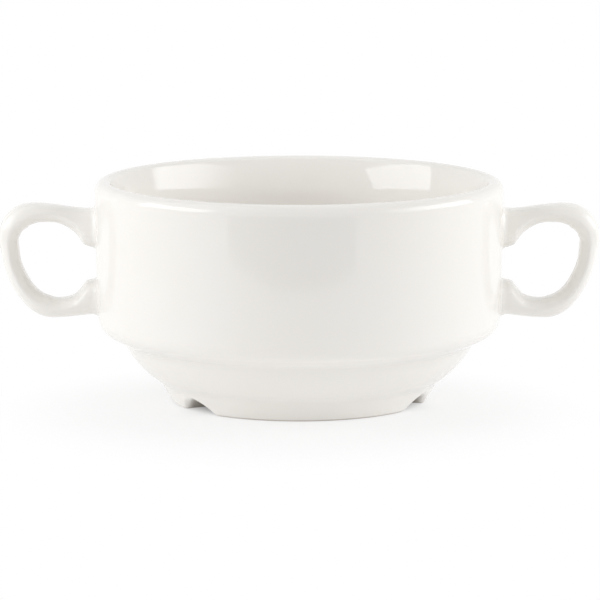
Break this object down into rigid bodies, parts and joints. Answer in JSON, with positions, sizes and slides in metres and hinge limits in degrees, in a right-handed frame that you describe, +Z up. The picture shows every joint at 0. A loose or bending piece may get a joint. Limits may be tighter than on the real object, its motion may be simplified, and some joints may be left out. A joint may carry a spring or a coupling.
{
  "type": "lug soup bowl",
  "caption": "Stacking soup bowl with a rounded rim, a stepped lower wall, a foot ring with drain notches and a loop handle on each side.",
  "frame": {"origin": "centre of the foot ring's standing face, on the bowl's axis", "axes": "+Z up along the bowl's axis, +X towards the right handle, -Y towards the viewer"},
  "size_m": [0.1648, 0.112, 0.0609],
  "materials": {
    "body_glaze": "glossy clear glaze over white porcelain",
    "foot_glaze": "glossy clear glaze, wiped bare on the standing face",
    "handle_glaze": "glossy clear glaze over white porcelain",
    "slip_glaze": "glossy clear glaze over a sponged slip fillet"
  },
  "bodies": {
    "root": {"bowl_body": "body_glaze", "foot_ring": "foot_glaze", "left_handle": "handle_glaze", "right_handle": "handle_glaze", "left_upper_slip": "slip_glaze", "left_lower_slip": "slip_glaze", "right_upper_slip": "slip_glaze", "right_lower_slip": "slip_glaze"}
  },
  "joints": []
}
